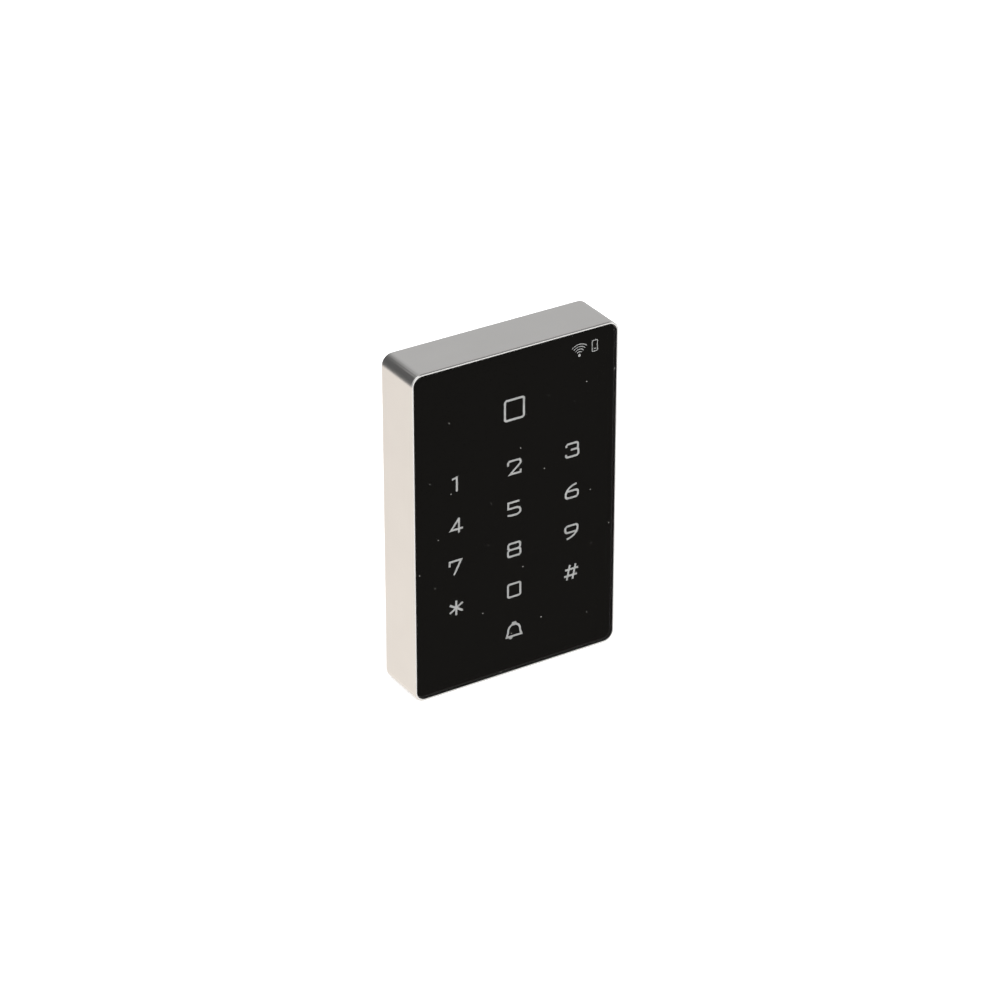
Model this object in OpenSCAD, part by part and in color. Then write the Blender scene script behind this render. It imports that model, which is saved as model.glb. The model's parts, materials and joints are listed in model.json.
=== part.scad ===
// Keypad access reader: glass-fronted touch keypad in a metal frame that hangs on a wall bracket.
// Millimetres. X right, Z up, front faces -Y, and the wall is the plane y = 0.

/* [Frame] */
// outside width
body_w = 78; // [72:0.5:90]
// outside height
body_h = 120; // [110:0.5:140]
// how far the front stands off the wall
body_d = 19.5; // [18:0.1:24]
// outside corner radius, seen from the front
corner_r = 4; // [2:0.1:8]
// width of the bright bevel round the front edge
bevel = 0.3; // [0.2:0.1:0.5]
// width of the frame's front rim, bevel and flat together
rim_w = 0.65; // [0.55:0.05:1.5]
// width of the bevel round the rear edge
rear_bevel = 0.8; // [0.2:0.1:1.5]
// wall thickness round the rear bay
wall = 1.6; // [1.2:0.1:2.5]
// gap left between the frame and the wall
wall_gap = 0.3; // [0.1:0.1:1]

/* [Glass and legends] */
// cover glass thickness
glass_t = 1.8; // [1:0.1:3]
// gap all round the glass
glass_gap = 0.3; // [0.1:0.05:0.6]
// how far the glass sits below the frame's front edge
glass_sink = 0.2; // [0:0.05:0.5]
// printed mask thickness
mask_t = 0.15; // [0.1:0.01:0.3]
// sideways distance between key legends
key_x = 22.3; // [18:0.1:24]
// distance between rows of key legends
key_z = 15.3; // [12:0.1:18]
// height of the top row of legends
row_top = 16.5; // [10:0.1:24]
// height of the bell legend
bell_z = -44.9; // [-48:0.1:-40]
// height of the card square
card_z = 37.6; // [30:0.1:44]
// line width of the legends
stroke_w = 0.8; // [0.5:0.05:1.2]

/* [Wall fixing] */
// bracket sheet thickness
plate_t = 1.2; // [0.8:0.1:2]
// wall screw spacing, sideways
screw_x = 50; // [40:1:56]
// wall screw spacing, up and down
screw_z = 84; // [70:1:96]
// wall screw hole diameter
screw_hole = 4.5; // [3.5:0.1:5.5]
// round wall box screw spacing
round_box = 60; // [56:0.5:62]
// tall wall box screw spacing
tall_box = 83.3; // [80:0.1:86]
// cable window diameter
window_d = 32; // [20:1:40]
// cable hole through the rear cover
cable_d = 6.2; // [4:0.1:8]

/* [Lock and tamper] */
// lock screw diameter
lock_d = 3; // [2.5:0.1:4]
// lock screw distance from the wall
lock_y = 5; // [4:0.1:6]
// plunger rod diameter
rod_d = 4; // [3:0.1:5]
// plunger place, sideways
rod_x = -24; // [-28:0.5:-18]
// plunger place, up
rod_z = 12; // [6:0.5:18]

/* [Hidden] */
$fn = 64;

half_h = body_h / 2;
// depths from the wall, growing towards the front
pocket_d = body_d - glass_sink - glass_t - mask_t - 0.3;
ledge_d = pocket_d - 2.35;
bay_d = 8.2;
board_t = 1.6;
board_d = ledge_d - board_t;
glass_d = body_d - glass_sink - glass_t;
glass_w = body_w - 2 * rim_w - 2 * glass_gap;
glass_h = body_h - 2 * rim_w - 2 * glass_gap;
glass_r = corner_r - rim_w - glass_gap;
flange_d = 6.2;
flange_t = 1.4;
bulge_d = 3.8;
skin = 1.4;
// inside of the frame
in_x = 35.4;
in_top = 56.4;
in_bot = -50.6;
post_x = 32.4;
post_top = 53.4;
post_bot = -47.6;
tab_z = -54.2;
coil_z = 38;
LEG = [for (r = [0 : 3]) for (c = [-1 : 1]) [c * key_x, row_top - r * key_z]];
LIT = concat(LEG, [[0, bell_z], [0, card_z]]);
POSTS = [[-post_x, post_top], [post_x, post_top], [-post_x, post_bot], [post_x, post_bot]];
BOARD_SCREWS = [[-32.9, 25], [32.9, 25], [-32.9, -22], [32.9, -22]];

// a flat shape drawn as seen from the front, from depth d0 and t thick towards the front
module slab(d0, t) rotate([90, 0, 0]) translate([0, 0, d0]) linear_extrude(height = t) children();

// a round bar along the depth
module pin(x, z, d0, t, d) translate([x, -d0, z]) rotate([90, 0, 0]) cylinder(h = t, d = d);

// a box from depth d0, t thick, centred on x, z
module block(x, z, w, h, d0, t) translate([x - w / 2, -d0 - t, z - h / 2]) cube([w, t, h]);

module round_rect(w, h, r) {
  square([w - 2 * r, h], center = true);
  square([w, h - 2 * r], center = true);
  for (x = [-1, 1], z = [-1, 1]) translate([x * (w / 2 - r), z * (h / 2 - r)]) circle(r = r);
}

// a rounded block with its front edge bevelled by f and its rear edge by b
module bevelled(w, h, r, d0, d1, f, b) {
  prof_w = [[-w / 2 + b, d0], [w / 2 - b, d0], [w / 2, d0 + b], [w / 2, d1 - f],
            [w / 2 - f, d1], [-w / 2 + f, d1], [-w / 2, d1 - f], [-w / 2, d0 + b]];
  prof_h = [[-h / 2 + b, d0], [h / 2 - b, d0], [h / 2, d0 + b], [h / 2, d1 - f],
            [h / 2 - f, d1], [-h / 2 + f, d1], [-h / 2, d1 - f], [-h / 2, d0 + b]];
  rotate([90, 0, 0]) {
    rotate([90, 0, 0]) translate([0, 0, -h / 2 + r]) linear_extrude(height = h - 2 * r) polygon(prof_w);
    rotate([90, 0, 90]) translate([0, 0, -w / 2 + r]) linear_extrude(height = w - 2 * r)
      polygon(prof_h);
    for (x = [-1, 1], z = [-1, 1]) translate([x * (w / 2 - r), z * (h / 2 - r), 0]) {
      translate([0, 0, d0]) cylinder(h = b, r1 = r - b, r2 = r);
      translate([0, 0, d0 + b]) cylinder(h = d1 - d0 - b - f, r = r);
      translate([0, 0, d1 - f]) cylinder(h = f, r1 = r, r2 = r - f);
    }
  }
}

// ---- outside ----

module housing_frame() color([0.72, 0.71, 0.69]) {
  difference() {
    bevelled(body_w, body_h, corner_r, wall_gap, body_d, bevel, rear_bevel);
    // pocket for the glass
    slab(pocket_d, 5) round_rect(body_w - 2 * rim_w, body_h - 2 * rim_w, corner_r - rim_w);
    // window behind the glass
    slab(ledge_d - 1, 5) translate([-30.5, -49]) square([61, 102]);
    // room for the board
    difference() {
      slab(bay_d - 1, ledge_d - bay_d + 1) translate([-in_x, in_bot]) square([2 * in_x, in_top - in_bot]);
      for (p = POSTS) {
        pin(p[0], p[1], bay_d - 2, 9, 6);
        block(sign(p[0]) * (in_x + post_x) / 2, p[1], in_x - post_x + 0.2, 6, bay_d - 2, 9);
        block(p[0] + sign(p[0]) * 0.4, p[1] + sign(p[1]) * 1.6, 6.8, 3.4, bay_d - 2, 9);
      }
    }
    // rear bay for the cover and the bracket, less the lock boss and the two hanging ribs
    difference() {
      slab(-1, bay_d + 1) round_rect(body_w - 2 * wall, body_h - 2 * wall, 2);
      block(0, -half_h + 2.6, 11, 5.2, 0.8, 9);
      for (x = [-20, 20]) block(x, half_h - wall - 0.9, 16, 2.2, 1, 1.6);
    }
    // lightening pockets either side of the lock boss
    for (x = [-22, 22]) block(x, -55.5, 26, 4.4, bay_d - 1, 5.8);
    // lock screw recess and hole
    translate([0, -lock_y, -half_h - 1]) cylinder(h = 5, d = 6);
    translate([0, -lock_y, -half_h - 1]) cylinder(h = 8, d = lock_d + 0.4);
    for (p = POSTS) pin(p[0], p[1], bay_d - 0.1, 5, 2.6);
    for (p = BOARD_SCREWS) pin(p[0], p[1], ledge_d - 0.1, 2.0, 2.1);
  }
}

module cover_glass() color([0.10, 0.10, 0.11]) bevelled(glass_w, glass_h, glass_r,
  glass_d, glass_d + glass_t, 0.15, 0.1);

// ---- printed legends: centre lines, in millimetres from each legend's own centre ----
// a closed line runs anticlockwise and ends where it starts

G1 = [[[-1.3, 2.0], [0.5, 2.4], [0.5, -2.8]]];
G2 = [[[-2.4, 0.75], [-2.4, 1.9], [-1.9, 2.4], [1.9, 2.4], [2.4, 1.9], [2.4, 1.0], [-1.6, -2.4],
       [2.4, -2.4], [2.4, -1.3]]];
G3 = [[[-2.3, 1.2], [-2.3, 1.9], [-1.8, 2.4], [1.7, 2.4], [2.2, 1.9], [2.2, 0.6], [1.7, 0.1],
       [-0.6, 0.1]],
      [[1.5, 0.1], [1.9, 0.1], [2.4, -0.4], [2.4, -1.9], [1.9, -2.4], [-1.9, -2.4], [-2.4, -1.9],
       [-2.4, -1.2]]];
G4 = [[[1.2, -2.8], [1.2, 2.8]], [[1.2, 2.5], [-1.85, -1.3], [2.8, -1.3]]];
G5 = [[[2.0, 2.4], [-2.3, 2.4], [-2.3, 0.2], [1.1, 0.2], [1.9, -0.1], [2.35, -0.8], [2.35, -1.5],
       [1.9, -2.1], [1.1, -2.4], [-1.2, -2.4], [-2.6, -2.1]]];
G6 = [[[1.9, 2.4], [0.4, 2.1], [-1.1, 1.3], [-2.0, 0.3], [-2.35, -0.9]],
      [[-1.8, -2.4], [1.8, -2.4], [2.4, -1.8], [2.4, -0.5], [1.8, 0.1], [-1.8, 0.1], [-2.4, -0.5],
       [-2.4, -1.8], [-1.8, -2.4]]];
G7 = [[[-2.4, 0.6], [-2.4, 2.4], [2.0, 2.4], [-0.8, -2.8]]];
G8 = [[[-1.7, 0.1], [-2.3, 0.7], [-2.3, 1.9], [-1.8, 2.4], [1.8, 2.4], [2.3, 1.9], [2.3, 0.7],
       [1.7, 0.1]],
      [[-1.9, -2.4], [1.9, -2.4], [2.4, -1.9], [2.4, -0.5], [1.8, 0.1], [-1.8, 0.1], [-2.4, -0.5],
       [-2.4, -1.9], [-1.9, -2.4]]];
G9 = [for (g = G6) [for (p = g) -p]];
G0 = [[[-2.0, -2.4], [2.0, -2.4], [2.4, -2.0], [2.4, 2.0], [2.0, 2.4], [-2.0, 2.4], [-2.4, 2.0],
       [-2.4, -2.0], [-2.0, -2.4]]];
GSTAR = [[[0, -2.8], [0, 2.8]], [[-2.5, 1.55], [2.5, -1.55]], [[-2.5, -1.55], [2.5, 1.55]]];
GHASH = [[[-1.7, -2.8], [-0.5, 2.8]], [[0.55, -2.8], [1.75, 2.8]], [[-2.4, 1.15], [2.8, 1.15]],
         [[-2.8, -1.2], [2.4, -1.2]]];
GBELL = [[[-0.9, 3.0], [0.9, 3.0]],
         [[-2.9, -2.0], [2.9, -2.0], [2.4, -0.6], [2.3, 0.6], [1.8, 1.7], [0.8, 2.35], [-0.8, 2.35],
          [-1.8, 1.7], [-2.3, 0.6], [-2.4, -0.6], [-2.9, -2.0]]];
GCARD = [[[-3.1, -3.6], [3.1, -3.6], [3.6, -3.1], [3.6, 3.1], [3.1, 3.6], [-3.1, 3.6], [-3.6, 3.1],
          [-3.6, -3.1], [-3.1, -3.6]]];
GPHONE = [[[-0.8, -1.95], [0.8, -1.95], [1.0, -1.75], [1.0, 1.75], [0.8, 1.95], [-0.8, 1.95],
           [-1.0, 1.75], [-1.0, -1.75], [-0.8, -1.95]], [[-0.4, -1.1], [0.4, -1.1]]];
KEYS = [G1, G2, G3, G4, G5, G6, G7, G8, G9, GSTAR, G0, GHASH];

function unit(v) = v / norm(v);
// the point of a line's edge beside its point i, on the left for s = 1 and the right for s = -1
function beside(p, i, s, w) = let (
    n = len(p) - 1,
    shut = p[0] == p[n],
    a = unit(i > 0 ? p[i] - p[i - 1] : shut ? p[n] - p[n - 1] : p[1] - p[0]),
    b = unit(i < n ? p[i + 1] - p[i] : p[n] - p[n - 1]))
  p[i] + s * w / 2 * [-a[1] - b[1], a[0] + b[0]] / (1 + a * b);

module legend(g, w) for (p = g) {
  n = len(p) - 1;
  if (p[0] == p[n]) difference() {
    polygon([for (i = [0 : n - 1]) beside(p, i, -1, w)]);
    polygon([for (i = [0 : n - 1]) beside(p, i, 1, w)]);
  }
  else polygon(concat([for (i = [0 : n]) beside(p, i, 1, w)], [for (i = [n : -1 : 0]) beside(p, i, -1, w)]));
}

// four arcs fanning from a dot
module wireless_fan(w) {
  circle(d = 1.1);
  intersection() {
    polygon([[0, 0], [-5, 5], [5, 5]]);
    union() for (r = [1.3, 2.2, 3.1, 4.0]) difference() {
      circle(r = r + w / 2);
      circle(r = r - w / 2);
    }
  }
}

module legend_mask() color([0.03, 0.03, 0.03]) difference() {
  slab(glass_d - mask_t, mask_t) round_rect(glass_w - 0.4, glass_h - 0.4, glass_r - 0.2);
  slab(glass_d - mask_t - 1, mask_t + 2) {
    for (i = [0 : 11]) translate(LEG[i]) legend(KEYS[i], stroke_w);
    translate([0, bell_z]) legend(GBELL, stroke_w);
    translate([-1.25, bell_z - 2.3]) circle(d = 1.5);
    translate([0, card_z]) legend(GCARD, stroke_w + 0.05);
    translate([24.7, 50.3]) wireless_fan(0.36);
    translate([30.6, 52.3]) legend(GPHONE, 0.4);
  }
}

module diffuser_film() color([0.85, 0.85, 0.83])
  slab(glass_d - mask_t - 0.25, 0.25) translate([-33.5, -50]) square([67, 106]);

module glass_adhesive() color([0.12, 0.12, 0.12]) slab(pocket_d, 0.3) difference() {
  round_rect(glass_w - 0.6, glass_h - 0.6, glass_r - 0.3);
  translate([-33.8, -50.3]) square([67.6, 106.6]);
}

// ---- behind the glass ----

module light_guide() color([0.92, 0.93, 0.92]) difference() {
  slab(ledge_d + 0.05, 2.2) translate([-30.2, -48.7]) square([60.4, 101.4]);
  for (p = LIT) pin(p[0], p[1], ledge_d - 0.5, 1.9, 5);
}

module main_board() color([0.06, 0.28, 0.16]) difference() {
  slab(board_d, board_t) translate([-35, in_bot + 0.4]) square([70, in_top - in_bot - 0.8]);
  for (p = POSTS) block(sign(p[0]) * 33, p[1] + sign(p[1]) * 1.2, 8, 9, board_d - 1, 4);
  for (p = BOARD_SCREWS) pin(p[0], p[1], board_d - 1, 4, 2.3);
}

module touch_pads() color([0.80, 0.50, 0.22]) slab(ledge_d, 0.04)
  for (i = [0 : 12]) translate(LIT[i]) difference() {
    square([14, i < 12 ? 11 : 6], center = true);
    circle(d = 4.2);
  }

module backlight_leds() color([0.95, 0.93, 0.80]) for (p = LIT) {
  block(p[0], p[1], 2.8, 3.2, ledge_d, 0.6);
  pin(p[0], p[1], ledge_d + 0.6, 0.2, 2.2);
}

module board_screws() color([0.70, 0.70, 0.68]) for (p = BOARD_SCREWS) difference() {
  union() {
    pin(p[0], p[1], board_d - 1.3, 1.3, 3.8);
    pin(p[0], p[1], board_d, 3.3, 2);
  }
  pin(p[0], p[1], board_d - 1.4, 0.8, 1.5);
}

module chip(x, z, w, h, t, legs, pitch) {
  block(x, z, w, h, board_d - t - 0.1, t);
  for (i = [0 : legs - 1]) for (s = [-1, 1]) {
    block(x + (i - (legs - 1) / 2) * pitch, z + s * (h / 2 + 0.35), 0.25, 0.7, board_d - 0.3, 0.3);
    block(x + s * (w / 2 + 0.35), z + (i - (legs - 1) / 2) * pitch, 0.7, 0.25, board_d - 0.3, 0.3);
  }
}

module processor_chip() color([0.08, 0.08, 0.09]) chip(4, 8, 9, 9, 1.2, 14, 0.55);
module touch_chip() color([0.09, 0.09, 0.10]) chip(-14, -4, 6, 6, 0.9, 9, 0.55);

module wireless_module() color([0.05, 0.22, 0.35]) block(-20, -26, 13, 18, board_d - 0.8, 0.8);
module module_shield() color([0.78, 0.78, 0.76]) block(-20, -28.5, 11.4, 11.4, board_d - 2.6, 1.8);
module relay() color([0.10, 0.24, 0.52]) block(20, -27, 10.5, 15, board_d - 6.6, 6.6);
module inductor() color([0.16, 0.16, 0.17]) block(20, -9, 7.2, 7.2, board_d - 3.6, 3.6);
module crystal() color([0.75, 0.75, 0.74]) block(12.5, 10, 2.4, 3.2, board_d - 0.8, 0.8);

module buzzer() color([0.07, 0.07, 0.07]) difference() {
  pin(24, 10, board_d - 4.8, 4.8, 12);
  pin(24, 10, board_d - 5.2, 1.4, 2.4);
}

module capacitors() color([0.74, 0.74, 0.75]) for (p = [[7, -9], [7, -17.5]]) {
  block(p[0], p[1], 6.6, 6.6, board_d - 0.8, 0.8);
  pin(p[0], p[1], board_d - 5.8, 5, 6.3);
}

module wire_header() color([0.10, 0.32, 0.18]) difference() {
  block(0, -38.5, 28, 7, board_d - 7, 7);
  for (i = [0 : 9]) {
    block(-11.43 + i * 2.54, -39.8, 1.9, 3.2, board_d - 7.5, 5);
    pin(-11.43 + i * 2.54, -36.6, board_d - 7.5, 2, 1.9);
  }
}

module header_pins() color([0.80, 0.78, 0.70]) for (i = [0 : 9])
  pin(-11.43 + i * 2.54, -36.6, board_d - 6.2, 0.7, 1.8);

module small_parts() color([0.55, 0.45, 0.35]) {
  for (i = [0 : 7]) block(-11 + i * 3.1, 20, 0.9, 1.7, board_d - 0.7, 0.7);
  for (i = [0 : 5]) block(-6, -19 + i * 2.6, 1.7, 0.9, board_d - 0.6, 0.6);
  for (i = [0 : 4]) block(28.5, -34 + i * 3, 1.7, 0.9, board_d - 0.7, 0.7);
  for (i = [0 : 3]) block(-7 + i * 3, 1.2, 0.9, 1.7, board_d - 0.6, 0.6);
  block(12, -25, 4, 2.6, board_d - 1.2, 1.2);
  block(12, -30, 4, 2.6, board_d - 1.2, 1.2);
}

module antenna_coil() color([0.72, 0.38, 0.16]) slab(board_d - 1.6, 1.4) translate([0, coil_z])
  difference() {
    round_rect(54, 25, 5);
    round_rect(48, 19, 2);
  }

module ferrite_sheet() color([0.20, 0.20, 0.21]) slab(board_d - 2.1, 0.4) translate([0, coil_z])
  round_rect(56, 26, 1.5);

module tamper_switch() color([0.10, 0.10, 0.10]) block(rod_x, rod_z, 3.5, 3.5, board_d - 1.6, 1.6);
module switch_button() color([0.80, 0.80, 0.78]) pin(rod_x, rod_z, board_d - 2.1, 0.5, 1.8);

// ---- rear cover ----

module cover_outline(grow) translate([0, (58 + in_bot - 1.8) / 2])
  round_rect(74 + 2 * grow, 58 - in_bot + 1.8 + 2 * grow, 1.8);

module rear_cover() color([0.17, 0.17, 0.18]) difference() {
  union() {
    slab(flange_d, flange_t) cover_outline(0);
    slab(bulge_d, flange_d - bulge_d + 0.1) translate([0, 2.9]) round_rect(63, 95, 4);
    pin(rod_x, rod_z, bulge_d, 5.5 - bulge_d, 9);
  }
  difference() {
    slab(bulge_d + skin, 5) translate([0, 2.9]) round_rect(63 - 2 * skin, 95 - 2 * skin, 4 - skin);
    pin(rod_x, rod_z, bulge_d, 5.5 - bulge_d, 9);
  }
  pin(rod_x, rod_z, 0, 9, rod_d + 0.2);
  pin(0, 0, 0, 9, 10);
  for (p = POSTS) pin(p[0], p[1], flange_d - 1, 4, 2.9);
}

module rear_gasket() color([0.10, 0.10, 0.10]) slab(flange_d + flange_t, bay_d - flange_d - flange_t)
  difference() {
    cover_outline(-0.3);
    translate([-34.2, -49.4]) square([68.4, 104.6]);
  }

module cover_screws() color([0.72, 0.72, 0.70]) for (p = POSTS) difference() {
  union() {
    pin(p[0], p[1], flange_d - 1.6, 1.6, 4.5);
    pin(p[0], p[1], flange_d, 6, 2.5);
  }
  pin(p[0], p[1], flange_d - 1.7, 1, 1.8);
}

module cable_grommet() color([0.07, 0.07, 0.07]) difference() {
  union() {
    pin(0, 0, bulge_d - 1.4, 1.4, 13);
    pin(0, 0, bulge_d, skin, 9.9);
    pin(0, 0, bulge_d + skin, 1.2, 13);
  }
  pin(0, 0, 0, 12, cable_d);
}

// ---- tamper plunger and its spring ----

module tamper_plunger() color([0.85, 0.85, 0.83]) {
  pin(rod_x, rod_z, 0.4, 7.4, rod_d);
  pin(rod_x, rod_z, 0.05, 0.35, rod_d - 0.8);
  pin(rod_x, rod_z, 7.8, 0.8, 6.8);
  pin(rod_x, rod_z, 8.6, board_d - 2.2 - 8.6, 2.6);
}

spring_r = 2.95;
spring_wire = 0.25;
coils = 4.5;
ring_n = 24;
rim_n = 8;
spring_a = 8.6 + spring_wire + 0.02;
spring_b = board_d - spring_wire - 0.02;
steps = coils * ring_n;
SPRING = [for (i = [0 : steps]) for (j = [0 : rim_n - 1]) let (
    a = i / ring_n * 360, b = j / rim_n * 360,
    r = spring_r + spring_wire * cos(b),
    d = spring_a + (spring_b - spring_a) * i / steps + spring_wire * sin(b))
  [rod_x + r * cos(a), -d, rod_z + r * sin(a)]];
module tamper_spring() color([0.78, 0.78, 0.78]) polyhedron(points = SPRING, faces = concat(
  [for (i = [0 : steps - 1]) for (j = [0 : rim_n - 1]) let (k = (j + 1) % rim_n)
    [i * rim_n + j, (i + 1) * rim_n + j, (i + 1) * rim_n + k, i * rim_n + k]],
  [[for (j = [0 : rim_n - 1]) j], [for (j = [rim_n - 1 : -1 : 0]) steps * rim_n + j]]));

// ---- lock screw, shown turned back out of the bracket ----

module lock_screw() color([0.74, 0.74, 0.73]) translate([0, -lock_y, -half_h]) difference() {
  union() {
    cylinder(h = 1.6, d = 5.5);
    translate([0, 0, 1.6]) cylinder(h = 3.2, d = lock_d);
    translate([0, 0, 4.8]) cylinder(h = 0.4, d1 = lock_d, d2 = lock_d - 0.8);
  }
  difference() {
    translate([0, 0, -1]) cylinder(h = 2, d = 2.9, $fn = 6);
    cylinder(h = 3, d = 0.9);
  }
}

module lock_ring() color([0.06, 0.06, 0.06]) translate([0, -lock_y, -half_h + 1.6]) difference() {
  cylinder(h = 0.8, d = 5.4);
  translate([0, 0, -1]) cylinder(h = 3, d = lock_d + 0.1);
}

// ---- wall bracket ----

// a tongue's side view, with its rear face square to the ribs that turn past it
TONGUE = [[0.2, -6.0], [2.1, -6.0], [5.66, -2.9], [4.8, -2.07], [1.9, -4.8], [0.2, -4.8]];

module wall_bracket() color([0.80, 0.80, 0.79]) difference() {
  union() {
    slab(0, plate_t) translate([0, -0.9]) round_rect(72, 112.2, 3);
    for (x = [-20, 20]) translate([x - 8, 0, half_h]) rotate([90, 0, 90])
      linear_extrude(height = 16) polygon([for (p = TONGUE) [-p[0], p[1]]]);
    for (x = [-13, 13]) slab(plate_t - 0.1, 0.7) translate([x, 33]) round_rect(3, 26, 1.4);
    for (x = [-13, 13]) slab(plate_t - 0.1, 0.7) translate([x, -33]) round_rect(3, 26, 1.4);
    translate([-6, -7.9, tab_z]) cube([12, 7.9, 1.2]);
  }
  // clear of the lock boss
  translate([-6.5, -3, -70]) cube([13, 10, 70 + tab_z]);
  pin(0, 0, -1, 4, window_d);
  for (x = [-1, 1], z = [-1, 1]) pin(x * screw_x / 2, z * screw_z / 2, -1, 4, screw_hole);
  for (x = [-1, 1]) pin(x * round_box / 2, 0, -1, 4, 4);
  for (z = [-1, 1]) pin(0, z * tall_box / 2, -1, 4, 4.2);
  pin(rod_x, rod_z, -1, 4, 6);
  translate([0, -lock_y, tab_z - 1]) cylinder(h = 4, d = lock_d + 0.1);
}

housing_frame();
cover_glass();
legend_mask();
diffuser_film();
glass_adhesive();
light_guide();
main_board();
touch_pads();
backlight_leds();
board_screws();
processor_chip();
touch_chip();
wireless_module();
module_shield();
relay();
buzzer();
capacitors();
inductor();
wire_header();
header_pins();
small_parts();
crystal();
antenna_coil();
ferrite_sheet();
tamper_switch();
switch_button();
rear_cover();
rear_gasket();
cover_screws();
cable_grommet();
tamper_plunger();
tamper_spring();
lock_screw();
lock_ring();
wall_bracket();
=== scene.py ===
import json
import math

import bpy
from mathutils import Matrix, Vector


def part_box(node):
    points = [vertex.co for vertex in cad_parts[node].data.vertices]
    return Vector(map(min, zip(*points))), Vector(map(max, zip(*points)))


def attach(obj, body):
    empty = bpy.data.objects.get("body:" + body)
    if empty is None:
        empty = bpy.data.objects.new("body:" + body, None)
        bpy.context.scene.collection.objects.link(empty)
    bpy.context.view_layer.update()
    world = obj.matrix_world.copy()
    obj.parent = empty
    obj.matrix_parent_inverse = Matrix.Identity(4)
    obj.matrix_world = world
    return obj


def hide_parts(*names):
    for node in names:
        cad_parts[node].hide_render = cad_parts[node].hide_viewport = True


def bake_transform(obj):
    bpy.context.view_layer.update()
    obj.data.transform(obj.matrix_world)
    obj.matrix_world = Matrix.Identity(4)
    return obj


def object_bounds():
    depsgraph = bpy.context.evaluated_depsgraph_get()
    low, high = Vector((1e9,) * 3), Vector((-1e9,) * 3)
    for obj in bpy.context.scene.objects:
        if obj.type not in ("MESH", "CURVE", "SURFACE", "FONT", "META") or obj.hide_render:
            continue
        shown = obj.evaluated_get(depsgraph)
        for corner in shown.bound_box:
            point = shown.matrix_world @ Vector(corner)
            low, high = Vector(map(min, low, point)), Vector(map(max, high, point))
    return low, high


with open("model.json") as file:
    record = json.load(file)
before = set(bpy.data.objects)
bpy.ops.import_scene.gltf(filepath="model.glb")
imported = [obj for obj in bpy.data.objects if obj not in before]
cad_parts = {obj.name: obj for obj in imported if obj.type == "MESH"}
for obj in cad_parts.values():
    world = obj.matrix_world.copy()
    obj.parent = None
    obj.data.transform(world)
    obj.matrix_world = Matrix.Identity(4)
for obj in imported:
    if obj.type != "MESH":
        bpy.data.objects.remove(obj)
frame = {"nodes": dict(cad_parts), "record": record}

# A keypad access reader: glass-fronted touch keypad in a bead-blasted metal frame, hung on a wall bracket.
# X is to the viewer's right, the front faces -Y and the wall is the plane y = 0. Metres.

MM = 0.001
TINY = 1e-6
CAD_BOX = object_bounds()
NODES = frame["nodes"]
SLOTS = {part["node"]: part["material_slot"] for part in frame["record"]["subparts"]}
BODIES = {node: body for body, nodes in frame["record"]["behaviour"]["bodies"].items() for node in nodes}


# ---- finding sizes ----

def low(node):
    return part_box(node)[0]


def high(node):
    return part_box(node)[1]


def middle(node):
    return (low(node) + high(node)) / 2


# ---- shaping pieces in edit mode ----

def deselect():
    if bpy.context.object and bpy.context.object.mode != "OBJECT":
        bpy.ops.object.mode_set(mode="OBJECT")
    bpy.ops.object.select_all(action="DESELECT")


def take(piece):
    """Makes a piece the only one selected, and the active one."""
    deselect()
    bpy.context.view_layer.objects.active = piece
    piece.select_set(True)


def call(piece, name):
    piece.name = name
    piece.data.name = name


def fix_place(piece):
    """Puts a piece's place, turn and scale into its mesh."""
    take(piece)
    bpy.ops.object.transform_apply(location=True, rotation=True, scale=True)


def settle(name):
    """Names the piece just added and puts its place into its mesh."""
    piece = bpy.context.object
    call(piece, name)
    fix_place(piece)
    return piece


def twin_of(piece):
    """A copy of a piece with a mesh of its own."""
    twin = piece.copy()
    twin.data = piece.data.copy()
    bpy.context.scene.collection.objects.link(twin)
    return twin


def block(name, corner, opposite):
    """A box between two corners."""
    deselect()
    a, b = Vector(corner), Vector(opposite)
    size = [abs(n) for n in b - a]
    bpy.ops.mesh.primitive_cube_add(size=1, location=(a + b) / 2, scale=size)
    return settle(name)


def bar(name, foot, tip, radius, sides=48):
    """A round bar from one point to another along X, Y or Z."""
    deselect()
    a, b = Vector(foot), Vector(tip)
    turn = (b - a).to_track_quat("Z", "Y").to_euler()
    bpy.ops.mesh.primitive_cylinder_add(vertices=sides, radius=radius, depth=(b - a).length,
                                        location=(a + b) / 2, rotation=turn)
    return settle(name)


def edit(piece):
    take(piece)
    bpy.ops.object.mode_set(mode="EDIT")


def pick_faces(piece, test):
    """Enters edit mode with the faces selected whose centre and normal pass a test."""
    edit(piece)
    bpy.ops.mesh.select_mode(type="FACE")
    bpy.ops.mesh.select_all(action="DESELECT")
    bpy.ops.object.mode_set(mode="OBJECT")
    for face in piece.data.polygons:
        face.select = test(face.center, face.normal)
    bpy.ops.object.mode_set(mode="EDIT")


def pick_edges(piece, test):
    """Enters edit mode with the edges selected whose two ends pass a test."""
    edit(piece)
    bpy.ops.mesh.select_mode(type="EDGE")
    bpy.ops.mesh.select_all(action="DESELECT")
    bpy.ops.object.mode_set(mode="OBJECT")
    points = piece.data.vertices
    for e in piece.data.edges:
        e.select = test(points[e.vertices[0]].co, points[e.vertices[1]].co)
    bpy.ops.object.mode_set(mode="EDIT")


def along_depth(a, b):
    return abs(a.x - b.x) + abs(a.z - b.z) < TINY


def round_corners(piece, radius, segments=12):
    """Rounds the edges that run along the depth."""
    pick_edges(piece, along_depth)
    bpy.ops.mesh.bevel(offset=radius, segments=segments, affect="EDGES")
    bpy.ops.object.mode_set(mode="OBJECT")


def round_outline(piece, test, width, segments):
    """Bevels or rounds the outline of the faces that pass a test."""
    pick_faces(piece, test)
    bpy.ops.mesh.region_to_loop()
    bpy.ops.mesh.bevel(offset=width, segments=segments, affect="EDGES")
    bpy.ops.object.mode_set(mode="OBJECT")


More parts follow.
